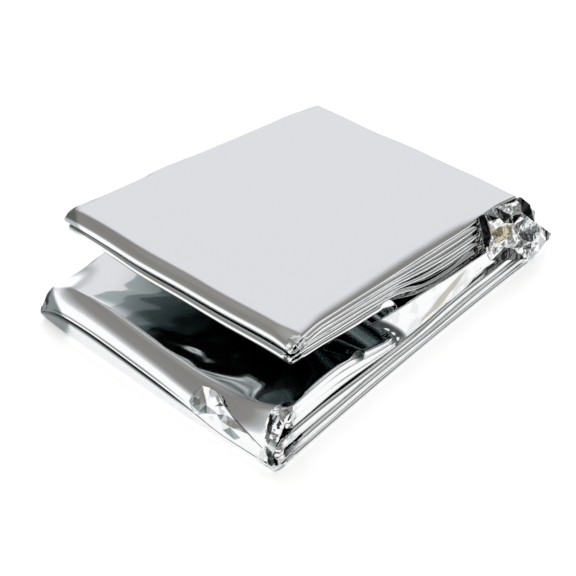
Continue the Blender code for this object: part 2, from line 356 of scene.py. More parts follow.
def leaf_room(leaf, x, y, upward):
    """Half of the free height between a leaf and the next leaf there, above or below it."""
    own = leaf_height(leaf, x, y) - droop(leaf, x, y)
    room = np.full(x.shape, MOST_RIM_HALF)
    step = 1 if upward else -1
    part = np.clip((x + 44.0) / 88.0, 0.0, 1.0)
    other = leaf + step
    while 1 <= other <= 14 and abs(other - leaf) <= 3:
        front = leaf_end(other, part, False) - 4.0
        spine = leaf_end(other, part, True) + 4.0
        there = (y > front) & (y < spine)
        height = leaf_height(other, x, y) - droop(other, x, y)
        room = np.where(there, np.minimum(room, np.abs(height - own) / 2 - GAP_HALF), room)
        other += step
    return np.maximum(room, FILM_HALF)


def widened_minimum(values, reach):
    """Smallest value within some rows either side, then evened out, so that a rim swells gradually."""
    low = values.copy()
    for shift in range(1, reach + 1):
        low[shift:] = np.minimum(low[shift:], values[:-shift])
        low[:-shift] = np.minimum(low[:-shift], values[shift:])
    padded = np.concatenate([low[:1]] * reach + [low] + [low[-1:]] * reach)
    return sum(padded[i : i + len(low)] for i in range(2 * reach + 1)) / (2 * reach + 1)


def rim_share(x):
    edge = np.minimum(x - x[..., :1], x[..., -1:] - x)
    return 1.0 - smooth_step(0.0, RIM_BLEND, edge)


def leaf_halves(leaf, points, upward, front_cap, spine_cap):
    """Half thickness of the strip in a leaf, on its upper or lower side. The caps are those of the folds at its ends."""
    x, y = points[..., 0], points[..., 1]
    if (leaf, upward) in OPEN_SIDES:
        return np.full(x.shape, FILM_HALF)
    room = widened_minimum(leaf_room(leaf, x, y, upward), 2)
    count = len(points)
    way = np.arange(count)[:, None] / (count - 1)
    room = between(np.minimum(room, front_cap), room, smooth_step(0.0, 0.12, way))
    room = between(np.minimum(room, spine_cap), room, smooth_step(0.0, 0.12, 1.0 - way))
    ends = smooth_step(0.0, 0.1, np.minimum(way, 1.0 - way))
    inside = between(FILM_HALF, np.minimum(room, INNER_HALF), ends)
    return between(inside, np.maximum(room, FILM_HALF), rim_share(x))


def triangle_wave(at):
    return 2.0 * np.abs(2.0 * (at - np.floor(at + 0.5))) - 1.0


def facets(points, size, seed):
    """Flat facets with straight creases between them, from -1 to 1, as in crumpled foil."""
    rng = np.random.default_rng(seed)
    total = np.zeros(points.shape[:-1])
    for _ in range(5):
        way = rng.normal(size=3)
        way /= np.linalg.norm(way)
        total += triangle_wave(points @ way / (size * rng.uniform(0.7, 1.5)) + rng.uniform())
    return total / 3.0


# Crumpled places: centre, radii, depth of the facets, their size and how far they only stand out.
CRUMPLES = (
    ("front right corner", (44.0, -58.5, 15.0), (4.5, 6.0, 9.0), 0.5, 5.0, 0.2),
    ("bundle end", (43.0, -60.0, 4.5), (4.0, 9.0, 5.5), 0.3, 4.0, 0.2),
    ("upper right corner", (40.5, -48.5, 29.5), (5.0, 5.0, 6.0), 0.5, 4.0, 0.2),
    ("upper left corner", (-46.0, -47.5, 30.0), (3.0, 3.5, 3.5), 0.2, 4.0, 0.2),
    ("lower left corner", (-45.0, -62.0, 6.5), (3.0, 5.0, 4.0), 0.2, 4.0, 0.2),
    ("inner fold", (43.0, -11.0, 16.0), (4.5, 6.0, 5.0), 0.3, 4.0, 0.2),
    ("lower face inside", (8.0, -30.0, 14.0), (44.0, 26.0, 6.0), 0.22, 24.0, 0.0),
    ("spine side", (0.0, 54.0, 12.0), (46.0, 12.0, 14.0), 0.5, 14.0, 0.4),
    ("left side", (-44.0, 10.0, 14.0), (5.0, 50.0, 14.0), 0.22, 14.0, 0.2),
)
SMOOTH_PLACES = ("lower face inside", "spine side", "left side")
# Soft creases: from, to, width and height of the ridge, a trough where it is negative.
CREASES = (
    ("tongue", (36.0, -29.5, 17.0), (45.0, -28.5, 17.5), 1.7, 1.5),
    ("lower top", (-23.5, -51.0, 14.4), (-16.0, -43.5, 14.4), 2.0, 0.16),
    ("lower top", (-16.0, -48.7, 14.4), (-9.7, -45.0, 14.4), 1.8, -0.14),
    ("lower top", (-8.2, -54.0, 14.4), (4.0, -49.0, 14.4), 1.8, 0.2),
    ("lower top", (0.6, -56.0, 14.4), (10.3, -53.4, 14.4), 1.6, -0.16),
    ("lower top", (6.5, -51.5, 14.4), (14.0, -45.0, 14.4), 2.2, 0.25),
    ("lower top", (12.0, -55.0, 13.5), (22.0, -50.0, 13.5), 2.0, -0.2),
    ("lower top", (20.0, -48.0, 14.0), (30.0, -50.0, 14.5), 2.4, 0.25),
)
# Painted shade on two corners, in place of the dark reflections where the foil turns away: two points on the crease,
# the way out to the corner, how far the corner reaches, and how dark it is.
SHADED_CORNERS = (
    ((-43.6, -58.4, 10.6), (-33.2, -63.6, 8.2), (-1.0, 0.0, -0.5), 15.0, 0.72),
    ((-42.6, -48.2, 32.6), (-38.8, -50.4, 30.2), (-1.0, -0.4, -0.4), 8.0, 0.42),
)
# A dark strap of painted shade over the inner fold's tongue: centre, radii and how dark it is.
SHADED_PLACES = (((42.6, -28.6, 17.6), (4.6, 2.6, 2.4), 0.95),)
# Bent plies along the sides: how deep, how long and how high each flat piece is.
SIDE_BENDS = (0.45, 26.0, 5.0)


def ellipsoid_part(points, centre, radii):
    far = np.sqrt((((points - centre) / radii) ** 2).sum(axis=-1))
    return 1.0 - smooth_step(0.45, 1.0, far)


def crumple(points, rims):
    """How far the foil stands out at each point, and how crumpled it is there. The rims are 1 where the sides are."""
    depth, length, height = SIDE_BENDS
    sides = smooth_step(37.5, 39.0, np.abs(points[..., 0])) * smooth_step(-58.0, -50.0, points[..., 1])
    out = rims * sides * depth * facets(points * np.array((0.0, height / length, 1.0)), height, 30)
    share = np.zeros(points.shape[:-1])
    for index, (place, centre, radii, depth, size, lift) in enumerate(CRUMPLES):
        part = ellipsoid_part(points, np.array(centre), np.array(radii))
        out += part * depth * (facets(points, size, 40 + index) + lift) / (1.0 + lift)
        if place not in SMOOTH_PLACES:
            share = np.maximum(share, part)
    for _, start, end, width, height in CREASES:
        start, end = np.array(start), np.array(end)
        way = end - start
        along = np.clip((points - start) @ way / (way @ way), 0.0, 1.0)
        far = np.linalg.norm(points - start - along[..., None] * way, axis=-1)
        out += height * np.exp(-((far / width) ** 2))
    return out, share


def fold_of(leaf, spine):
    for low, high in SPINE_FOLDS if spine else FRONT_FOLDS:
        if leaf in (low, high):
            return low, high
    return None


def end_cap(leaf, spine, upward):
    """Largest half of a leaf's rim where it runs into its fold, on the leaf's upper or lower side."""
    fold = fold_of(leaf, spine)
    if fold is None:
        return FILM_HALF
    bulging, hollow = FOLD_RIMS[fold]
    return hollow if (leaf == fold[0]) == upward else bulging


def crease_shade(fold, rows, part):
    """How dark the narrow creases in a front fold are, as painted shade: a dark line in the groove and a black seam."""
    dark = np.zeros(rows.shape[:2])
    if fold == (1, 8):
        low = len(rows) // 4
        dark[low - 1 : low + 4] = 0.9 * smooth_step(0.72, 0.6, part)
    if fold == (11, 14):
        way = np.arange(len(rows))[:, None] / len(rows)
        dark = 0.95 * (1.0 - smooth_step(0.16, 0.3, way)) * np.ones(rows.shape[1])
    return dark


def strip_grid():
    """Middle surface of the strip, row by row, with its half thickness on both sides."""
    part = []
    for (low, count), (high, _) in zip(COLUMN_ZONES, COLUMN_ZONES[1:]):
        part.append(np.linspace(low, high, count, endpoint=False))
    inset = RIM_REACH / 88.0
    part = between(inset, 1.0 - inset, np.append(np.concatenate(part), 1.0))
    middles, outers, inners, leaves, darks = [], [], [], [], []
    for index, leaf in enumerate(STRIP_ORDER):
        to_front = index % 2 == 0
        outer_up = leaf in (8, 10, 6, 14, 12, 2, 4)
        rows = leaf_rows(leaf, part, LEAF_ROWS.get(leaf, HIDDEN_LEAF_ROWS))
        sides = []
        for upward in (outer_up, not outer_up):
            caps = end_cap(leaf, False, upward), end_cap(leaf, True, upward)
            sides.append(leaf_halves(leaf, rows, upward, *caps))
        outer, inner = sides
        if to_front:
            rows, outer, inner = rows[::-1], outer[::-1], inner[::-1]
        middles.append(rows)
        outers.append(outer)
        inners.append(inner)
        leaves.append(np.full(len(rows), leaf))
        darks.append(np.zeros(rows.shape[:2]))
        if index + 1 == len(STRIP_ORDER):
            continue
        after = STRIP_ORDER[index + 1]
        fold = (min(leaf, after), max(leaf, after))
        count = FOLD_ROWS.get(fold, HIDDEN_FOLD_ROWS)
        if fold == (1, 8):
            rows = face_rows(part, count)
        else:
            rows = fold_rows(leaf, after, part, not to_front, count)
        middles.append(rows)
        rims = rim_share(rows[..., 0])
        bulging, hollow = FOLD_RIMS[fold]
        # The strip's outer side is on a fold's hollow side where the outer side looks at the fold's other leaf.
        outer_hollow = (leaf == fold[0]) == outer_up
        outers.append(between(FILM_HALF, hollow if outer_hollow else bulging, rims))
        inners.append(between(FILM_HALF, bulging if outer_hollow else hollow, rims))
        leaves.append(np.full(len(rows), 0))
        darks.append(crease_shade(fold, rows, part))
    return part, [np.concatenate(group) for group in (middles, outers, inners, leaves, darks)]


INNER_PARTS = (0.0, 0.03, 0.08, 0.18, 0.28, 0.38, 0.48, 0.58, 0.68, 0.78, 0.86, 0.92, 0.97, 1.0)


def unit(vectors):
    return vectors / np.linalg.norm(vectors, axis=-1, keepdims=True)


def rim_points(middle, normal, sideways, outer, inner):
    """Points round one rim, from the outer side to the inner side, and which way is out there."""
    places, ways = [], []
    for step in range(1, RIM_COLUMNS + 1):
        level = math.cos(math.pi * step / (RIM_COLUMNS + 1))
        side = (1.0 - abs(level) ** 2.4) ** (1.0 / 2.4)
        half = outer if level > 0 else inner
        places.append(middle + (half * level)[:, None] * normal + RIM_REACH * side * sideways)
        ways.append((side * sideways + level * normal) * min(1.0, 1.0 + level))
    return np.stack(places, axis=1), np.stack(ways, axis=1)


# Soft lighter shapes in the painted shade on the lower pack's top, inside the hollow, as painted reflections: centre,
# half length and width, turn in degrees and how much lighter.
REFLECTION_SHAPES = (
    (-14.0, -44.0, 8.0, 3.0, 35.0, 0.5),
    (3.0, -46.0, 6.0, 3.5, 60.0, 0.45),
    (11.0, -49.5, 7.0, 2.0, 40.0, 0.45),
    (13.5, -53.0, 6.0, 1.2, 20.0, 0.4),
    (26.0, -54.2, 12.0, 1.8, 4.0, 0.4),
    (34.0, -44.0, 4.0, 1.6, 60.0, 0.3),
)


def hollow_shade(leaves, fold_parts, outer_side, loop):
    """Painted shade at each point of the strip: deep in the hollow between the packs, in narrow creases, at two
    corners.
    """
    x, y, z = outer_side[..., 0], outer_side[..., 1], outer_side[..., 2]
    # The hollow's painted shade grows from this slanted line to the right and back from the front edge.
    deep = smooth_step(-30.0, 0.0, x + 0.8 * (y + 50.0)) * smooth_step(-58.2, -56.5, y)
    for centre_x, centre_y, length, breadth, turn, light in REFLECTION_SHAPES:
        turn = math.radians(turn)
        along = (x - centre_x) * math.cos(turn) + (y - centre_y) * math.sin(turn)
        across = (y - centre_y) * math.cos(turn) - (x - centre_x) * math.sin(turn)
        far = np.sqrt((along / length) ** 2 + (across / breadth) ** 2)
        deep = deep * (1.0 - light * (1.0 - smooth_step(0.5, 1.1, far)))
    inside = {8: deep, 9: smooth_step(-48.0, -42.0, y)}
    first = int(np.argmax(leaves == 8))
    last = len(leaves) - 1 - int(np.argmax(leaves[::-1] == 9))
    shade = np.zeros(loop.shape[:2])
    for row in range(first, last + 1):
        values = inside[leaves[row]][row] if leaves[row] in inside else np.ones(x.shape[1])
        shade[row, : x.shape[1]] = 0.5 * values
    shade[:, : x.shape[1]] += fold_parts
    for start, end, outward, reach, dark in SHADED_CORNERS:
        start, way, outward = np.array(start), np.array(end) - np.array(start), np.array(outward)
        way = way / np.linalg.norm(way)
        outward = outward - (outward @ way) * way
        past = (loop - start) @ (outward / np.linalg.norm(outward))
        near = 1.0 - smooth_step(reach - 2.0, reach, np.linalg.norm(loop - start, axis=-1))
        corner = dark * smooth_step(-0.2, 0.5, past) * near
        corner[leaves == 8] = 0.0
        shade = np.maximum(shade, corner)
    for centre, radii, dark in SHADED_PLACES:
        shade = np.maximum(shade, dark * ellipsoid_part(loop, np.array(centre), np.array(radii)))
    return shade


def strip_points():
    """Points of the strip's closed cross-sections, row by row, how crumpled each is, and its painted shade."""
    part, (middles, outers, inners, leaves, darks) = strip_grid()
    along = np.gradient(middles, axis=0)
    across = np.gradient(middles, axis=1)
    normals = unit(np.cross(across, along))
    points = middles + PACK_SHIFT
    outer_side = points + outers[..., None] * normals
    columns = [int(np.argmin(np.abs(part - at))) for at in INNER_PARTS]
    inner_side = (points - inners[..., None] * normals)[:, columns[::-1]]
    right, right_ways = rim_points(points[:, -1], normals[:, -1], unit(across[:, -1]), outers[:, -1], inners[:, -1])
    left, left_ways = rim_points(points[:, 0], normals[:, 0], unit(-across[:, 0]), outers[:, 0], inners[:, 0])
    loop = np.concatenate([outer_side, right, inner_side, left[:, ::-1]], axis=1)
    ways = np.concatenate([normals, right_ways, np.zeros_like(inner_side), left_ways[:, ::-1]], axis=1)
    rims = np.zeros(loop.shape[:2])
    rims[:, outer_side.shape[1] : outer_side.shape[1] + RIM_COLUMNS] = 1.0
    rims[:, -RIM_COLUMNS:] = 1.0
    out, share = crumple(loop, rims)
    # The underside stays flat, and hidden faces that lie close together stay smooth.
    free = np.isin(leaves, (0, 8, 9, 14))[:, None] | (np.abs(loop[..., 0]) > 38.0)
    out = np.where((leaves[:, None] == 1) | ~free, 0.0, out)
    loop = loop + out[..., None] * ways
    loop[..., 2] = np.maximum(loop[..., 2], 0.0)
    return loop, share, hollow_shade(leaves, darks, outer_side, loop)


# Two flaps of the outer plies lie over the right side. The crumpled one that closes the spine's end is made of flat
# facets: its points are (depth, height, how far it stands out from the flap's own slant).
END_POINTS = {
    "s0": (32.0, 25.1, -0.2),
    "s1": (34.3, 25.2, 0.4),
    "s2": (30.3, 21.9, 0.0),
    "s3": (32.7, 20.8, 0.6),
    "s4": (28.8, 18.6, 0.0),
    "s5": (30.4, 18.5, 0.4),
    "t1": (40.2, 24.3, -0.6),
    "t2": (47.1, 23.3, 0.4),
    "t3": (51.2, 22.8, -0.4),
    "t4": (52.5, 20.7, 0.6),
    "t5": (54.3, 17.5, -0.4),
    "t6": (52.2, 16.1, 0.3),
    "t7": (56.6, 11.7, -0.5),
    "t8": (62.0, 6.4, -0.4),
    "t9": (57.9, 6.3, 0.6),
    "t10": (54.9, 3.8, 0.2),
    "t11": (51.0, 2.6, -0.2),
    "m1": (38.6, 22.6, 0.7),
    "m2": (44.7, 20.4, -0.6),
    "m3": (47.8, 20.3, 1.0),
    "m4": (34.3, 23.4, 0.5),
    "m5": (39.5, 21.0, 0.4),
    "m6": (43.7, 18.8, 0.0),
    "m7": (37.5, 20.5, -0.3),
    "m8": (43.8, 16.1, 0.4),
    "m9": (33.7, 18.1, 0.9),
    "m10": (39.3, 17.0, 0.4),
    "m11": (36.2, 15.6, 0.5),
    "m12": (29.7, 14.5, 0.2),
    "m13": (47.7, 5.2, 0.4),
    "m14": (49.2, 19.4, -0.7),
    "m15": (51.6, 16.1, 0.8),
    "m16": (48.0, 14.0, -0.3),
    "m17": (44.6, 14.2, 0.9),
    "m18": (46.5, 9.9, -0.9),
    "m19": (48.8, 11.0, 0.9),
    "m20": (51.3, 6.3, -0.6),
    "m21": (53.5, 11.2, 0.5),
    "m22": (41.3, 12.2, -0.8),
    "m23": (42.5, 14.9, 0.6),
}
# Its facets and how dark each is painted, for dark reflections. Those with warm points only get a painted warm
# reflection.
END_FACETS = (
    ("s0", "s2", "s3", 1.0),
    ("s0", "s3", "s1", 1.0),
    ("s2", "s4", "s5", 1.0),
    ("s2", "s5", "s3", 1.0),
    ("s1", "m4", "m1", 1.0),
    ("s1", "m1", "t1", 0.3),
    ("s1", "s3", "m4", 0.0),
    ("s3", "m7", "m4", 0.0),
    ("m4", "m7", "m5", 0.0),
    ("m4", "m5", "m1", 0.0),
    ("m1", "m5", "m2", 1.0),
    ("m1", "m2", "t1", 1.0),
    ("t1", "m2", "t2", 0.0),
    ("m5", "m6", "m2", 0.0),
    ("m7", "m6", "m5", 0.0),
    ("s3", "m9", "m7", 0.1),
    ("m7", "m9", "m10", 0.0),
    ("m7", "m10", "m6", 0.0),
    ("m6", "m10", "m8", 0.1),
    ("s3", "s5", "m9", 0.0),
    ("s5", "m11", "m9", 0.0),
    ("m9", "m11", "m10", 0.0),
    ("s4", "m12", "s5", 0.0),
    ("s5", "m12", "m11", 0.0),
    ("m10", "m23", "m8", 0.0),
    ("m10", "m11", "m23", 0.1),
    ("m11", "m22", "m23", 0.3),
    ("m8", "m23", "m17", 0.0),
    ("m23", "m22", "m17", 0.0),
    ("m22", "m18", "m17", 1.0),
    ("m8", "m17", "m16", 1.0),
    ("m6", "m8", "m16", 0.0),
    ("m6", "m16", "m3", 0.0),
    ("m2", "m6", "m3", 1.0),
    ("t2", "m2", "m3", 0.0),
    ("t2", "m3", "t3", 0.1),
    ("t3", "m3", "m14", 0.3),
    ("t3", "m14", "t4", 1.0),
    ("m3", "m16", "m14", 0.0),
    ("m14", "m16", "m15", 0.1),
    ("t4", "m14", "m15", 1.0),
    ("t4", "m15", "t5", 0.0),
    ("t5", "m15", "t6", 0.3),
    ("t6", "m15", "t7", 0.1),
    ("m15", "m21", "t7", 0.3),
    ("m15", "m16", "m21", 0.3),
    ("m16", "m19", "m21", 0.1),
    ("m16", "m17", "m19", 1.0),
    ("m17", "m18", "m19", 0.0),
    ("m19", "m20", "m21", 0.0),
    ("m18", "m20", "m19", 1.0),
    ("t7", "t9", "t8", 1.0),
    ("t7", "m21", "t9", 0.0),
    ("m21", "t10", "t9", 0.3),
    ("m21", "m20", "t10", 0.0),
    ("m20", "t11", "t10", 0.3),
    ("m20", "m13", "t11", 0.0),
    ("m18", "m13", "m20", 0.1),
    ("m22", "m13", "m18", 0.0),
    ("m11", "m13", "m22", 1.0),
    ("m11", "m12", "m13", 1.0),
)
WARM_REFLECTION_POINTS = ("s3", "m6", "m7", "m9", "m10")
END_SLANT = (44.3, 8.0, 0.0275)
# A crushed place on the lower pack's front face, also of flat facets: its points are (part across the face, part of
# the way up from the crease, how far it stands out), and each facet has its darkness, painted shade for dark
# reflections.
FACE_POINTS = {
    "k0": (0.698, 0.79, 0.2),
    "k1": (0.684, 0.50, 0.2),
    "k2": (0.682, 0.22, 0.2),
    "k3": (0.706, 0.03, 0.2),
    "k4": (0.699, 0.48, 1.1),
    "k5": (0.704, 0.24, 1.1),
    "k6": (0.714, 0.54, 0.3),
    "k7": (0.728, 0.40, 0.9),
    "k8": (0.730, 0.20, 0.7),
    "k9": (0.724, 0.05, 0.2),
    "w1": (0.742, 0.50, 0.25),
    "w2": (0.754, 0.28, 0.3),
    "w3": (0.790, 0.18, 0.3),
    "w6": (0.915, 0.09, 0.2),
    "w7": (0.955, 0.12, 0.2),
    "v1": (0.732, 0.84, 1.4),
    "v2": (0.766, 0.82, 1.7),
    "v3": (0.802, 0.67, 1.3),
    "v4": (0.850, 0.52, 0.75),
    "v5": (0.905, 0.38, 0.35),
    "v6": (0.960, 0.24, 0.2),
    "t1": (0.770, 0.55, 0.5),
    "u1": (0.784, 0.70, 1.0),
    "t2": (0.790, 0.44, 0.5),
    "s2": (0.812, 0.52, 0.7),
    "r2": (0.808, 0.36, 0.6),
    "d1": (0.822, 0.17, 0.3),
    "d2": (0.848, 0.36, 0.9),
    "d3": (0.888, 0.24, 0.5),
    "d4": (0.868, 0.12, 0.3),
}
FACE_FACETS = (
    ("k0", "k1", "k4", 0.6),
    ("k1", "k2", "k4", 0.5),
    ("k4", "k2", "k5", 0.6),
    ("k2", "k3", "k5", 0.5),
    ("k0", "k4", "k6", 0.0),
    ("k4", "k5", "k6", 0.0),
    ("k6", "k5", "k7", 0.25),
    ("k5", "k8", "k7", 0.6),
    ("k5", "k3", "k8", 0.2),
    ("k3", "k9", "k8", 0.0),
    ("k0", "k6", "w1", 0.0),
    ("k6", "k7", "w1", 0.0),
    ("k7", "k8", "w1", 0.45),
    ("k8", "w2", "w1", 0.42),
    ("k8", "k9", "w2", 0.35),
    ("k0", "w1", "v1", 0.0),
    ("v1", "w1", "v2", 0.0),
    ("w1", "t1", "v2", 0.0),
    ("w1", "w2", "t1", 0.0),
    ("w2", "t2", "t1", 0.0),
    ("w2", "w3", "t2", 0.0),
    ("t1", "u1", "v2", 0.0),
    ("u1", "v3", "v2", 0.0),
    ("t1", "v3", "u1", 0.5),
    ("t1", "t2", "v3", 0.0),
    ("t2", "s2", "v3", 0.0),
    ("t2", "r2", "s2", 0.5),
    ("w3", "r2", "t2", 0.0),
    ("s2", "v4", "v3", 0.0),
    ("s2", "r2", "v4", 0.0),
    ("r2", "d2", "v4", 0.0),
    ("w3", "d1", "r2", 0.0),
    ("d1", "d2", "r2", 0.1),
    ("d1", "d4", "d2", 0.6),
    ("d4", "d3", "d2", 0.45),
    ("d2", "v5", "v4", 0.0),
    ("d2", "d3", "v5", 0.0),
    ("d3", "v6", "v5", 0.0),
    ("d4", "w6", "d3", 0.0),
    ("d3", "w6", "v6", 0.0),
    ("w6", "w7", "v6", 0.0),
)
# The long one, which covers the hollow behind the inner fold, has its top and bottom edge as (depth, height) at each
# station, and how far its levels, from the bottom up, stand out from the side.
SIDE_FLAP = (
    (((-22.6, 22.4), (-13.0, 9.8)), (43.0, 42.9, 42.4, 41.6, 40.4)),
    (((-20.0, 22.0), (-10.0, 10.2)), (42.8, 43.0, 42.5, 41.8, 40.8)),
    (((-9.5, 20.9), (-1.0, 10.6)), (43.0, 42.8, 42.9, 42.0, 41.4)),
    (((1.5, 20.0), (9.0, 10.4)), (42.6, 43.3, 42.6, 42.4, 41.6)),
    (((11.5, 18.6), (17.0, 11.2)), (43.0, 42.6, 43.0, 42.2, 41.8)),
    (((20.5, 18.0), (25.0, 12.0)), (42.6, 43.2, 42.5, 42.4, 41.9)),
    (((31.0, 17.0), (33.0, 12.6)), (43.0, 42.6, 42.9, 42.2, 42.0)),
)
# Its front edge is a strap of painted black shade, with light spots at these levels, and a painted grey streak with a
# painted warm reflection runs across it: the streak's start and end as (station, level) and its half width.
STRAP_END = 1.26
STRAP_SPOTS = ((0.85, 0.3), (1.75, 0.3), (2.6, 0.34))
PAINTED_STREAK = ((1.85, 0.4), (4.8, 3.4), 0.5)
FLAP_THICKNESS = 0.4
END_CRUMPLED = 0.75
FACE_CRUMPLED = 0.12
FLAP_LENGTH_STEPS = 60
FLAP_HEIGHT_STEPS = 30


def facet_shell(names, outer, inward, facets, rim_dark):
    """Points and faces of a thin shell with flat facets, and the painted shade and painted warm reflection of each
    face.
    """
    points = np.concatenate([outer, outer + FLAP_THICKNESS * np.array(inward)]) + PACK_SHIFT
    faces, darks, warm_reflections, edges = [], [], [], set()
    for *corners, dark in facets:
        face = tuple(names.index(corner) for corner in corners)
        faces.append(face)
        faces.append(tuple(index + len(names) for index in reversed(face)))
        darks += [dark, dark]
        warm_reflections += [float(set(corners) <= set(WARM_REFLECTION_POINTS))] * 2
        edges |= {(face[i], face[(i + 1) % 3]) for i in range(3)}
    for a, b in sorted(edges):
        if (b, a) not in edges:
            faces.append((b, a, a + len(names), b + len(names)))
            darks.append(rim_dark)
            warm_reflections.append(0.0)
    return points, faces, darks, warm_reflections


def end_shell():
    side, height, slant = END_SLANT
    outer = [(side - slant * max(0.0, up - height) ** 2 + out, depth, up) for depth, up, out in END_POINTS.values()]
    return facet_shell(list(END_POINTS), np.array(outer), (-1.0, 0.0, 0.0), END_FACETS, 0.3)


def face_shell():
    part, at, out = np.array(list(FACE_POINTS.values())).T
    count = FOLD_ROWS[(1, 8)]
    first = count // 4 + 4
    rows = np.concatenate([face_rows(part, count)[first:], leaf_rows(8, part, 2)[:1]])
    way = np.gradient(rows, axis=0)
    stand = unit(np.stack([0.0 * way[..., 0], -way[..., 2], way[..., 1]], axis=-1))
    steps = at * (len(rows) - 1)
    low = np.floor(steps).astype(int)
    share = (steps - low)[:, None]
    columns = np.arange(len(part))
    middle = between(rows[low, columns], rows[low + 1, columns], share)
    normal = unit(between(stand[low, columns], stand[low + 1, columns], share))
    outer = middle + (FILM_HALF + out[:, None]) * normal
    return facet_shell(list(FACE_POINTS), outer, (0.0, 0.8, -0.6), FACE_FACETS, 0.0)


def flap_points(stations, bow):
    """A flap's outer face as rows of points from its front edge, which bows back, to its far end."""
    levels = np.linspace(0.0, 1.0, len(stations[0][1]))
    net = []
    for number, ((top, bottom), sides) in enumerate(stations):
        line = between(np.array(bottom), np.array(top), levels[:, None])
        line[:, 0] += bow * 4.0 * levels * (1.0 - levels) * max(0.0, 1.0 - number / 2.0)
        net.append(np.concatenate([np.array(sides)[:, None], line], axis=1))
    at = np.linspace(0.0, len(stations) - 1.0, FLAP_LENGTH_STEPS + 1)
    up = np.linspace(0.0, 1.0, FLAP_HEIGHT_STEPS + 1)
    points = np.empty((len(at), len(up), 3))
    for axis in range(3):
        lines = [smooth_row(range(len(stations)), [row[level, axis] for row in net], at) for level in range(len(levels))]
        points[..., axis] = np.stack([smooth_row(levels, [line[i] for line in lines], up) for i in range(len(at))])
    return points + PACK_SHIFT


def side_flap_shade():
    """The side flap's painted shade and painted warm reflection at each point of its outer face."""
    at = np.linspace(0.0, len(SIDE_FLAP) - 1.0, FLAP_LENGTH_STEPS + 1)[:, None]
    up = np.linspace(0.0, len(SIDE_FLAP[0][1]) - 1.0, FLAP_HEIGHT_STEPS + 1)[None, :]
    strap_shade = 0.95 * (1.0 - smooth_step(STRAP_END - 0.1, STRAP_END, at)) * np.ones(up.shape)
    for level, size in STRAP_SPOTS:
        far = np.sqrt(((up - level) / size) ** 2 + ((at - 0.55) / 0.3) ** 2)
        strap_shade = strap_shade * smooth_step(0.7, 1.1, far)
    (first, low), (last, high), half = PAINTED_STREAK
    way = np.clip((at - first) / (last - first), 0.0, 1.0)
    far = np.abs(up - between(low, high, way))
    wide = 0.05 + half * np.sin(math.pi * way)
    painted_streak = (1.0 - smooth_step(0.7, 1.0, far / wide)) * (at > first) * (at < last)
    return np.maximum(strap_shade, 0.4 * painted_streak), 0.5 * painted_streak


def grid_faces(first, rows, width, closed):
    """Faces of a grid of points, whose rows are closed loops or open lines."""
    faces = []
    for row in range(rows - 1):
        for column in range(width if closed else width - 1):
            a = first + row * width + column
            b = first + row * width + (column + 1) % width
            faces.append((a, b, b + width, a + width))
    return faces


def shell(outer):
    """Closed loops of points of a thin shell behind an outer face."""
    inner = outer - np.array((FLAP_THICKNESS, 0.0, 0.0))
    return np.concatenate([inner, outer[:, ::-1]], axis=1)


def strip_mesh():
    loop, share, shade = strip_points()
    flap = shell(flap_points(SIDE_FLAP, 2.4))
    # The side flap's painted shade and painted warm reflection go on its outer face only.
    dark, warm_reflection = (np.concatenate([np.zeros_like(face), face[:, ::-1]], axis=1) for face in side_flap_shade())
    parts = [(loop, share, shade, np.zeros_like(share)), (flap, np.full(dark.shape, 0.1), dark, warm_reflection)]
    faces, first = [], 0
    for points, *_ in parts:
        rows, width = points.shape[:2]
        last = first + (rows - 1) * width
        faces += grid_faces(first, rows, width, True)
        faces.append(tuple(range(first + width - 1, first - 1, -1)))
        faces.append(tuple(range(last, last + width)))
        first += rows * width
    corners = np.concatenate([np.array(face) for face in faces])
    smooth = [True] * len(faces)
    verts, flat = [part[0].reshape(-1, 3) for part in parts], []
    for (points, shell_faces, darks, warm_reflections), crumpled in ((end_shell(), END_CRUMPLED), (face_shell(), FACE_CRUMPLED)):
        for face, dark, warm_reflection in zip(shell_faces, darks, warm_reflections):
            faces.append(tuple(index + first for index in face))
            flat += [(crumpled, dark, warm_reflection)] * len(face)
        smooth += [False] * len(shell_faces)
        verts.append(points)
        first += len(points)
    verts = np.concatenate(verts)
    mesh = bpy.data.meshes.new("foil_strip")
    mesh.from_pydata((verts * MM).tolist(), [], faces)
    # Crumpled share, painted shade and painted warm reflection of each face corner.
    for name, index in (("crumpled", 1), ("shaded", 2), ("warm_reflection", 3)):
        values = np.concatenate([part[index].reshape(-1) for part in parts])[corners]
        values = np.concatenate([values, [item[index - 1] for item in flat]])
        mesh.attributes.new(name, "FLOAT", "CORNER").data.foreach_set("value", values.astype(np.float32))
    mesh.polygons.foreach_set("use_smooth", smooth)
    mesh.update()
    return mesh


FOIL_COLOUR = (0.875, 0.885, 0.895, 1.0)
# Painted shade darkens the foil to the teal and the black below; the warm colour is a painted warm reflection.
SHADED_COLOUR = (0.31, 0.355, 0.36, 1.0)
DARK_COLOUR = (0.015, 0.016, 0.016, 1.0)
WARM_REFLECTION_COLOUR = (0.56, 0.50, 0.36, 1.0)
# Crumpled foil: two sizes of facets, as counts per metre, how steep they are, and the share of them with painted dark
# reflections.
FACETS = (260.0, 0.45, 0.72)
SMALL_FACETS = (800.0, 0.28, 0.80)


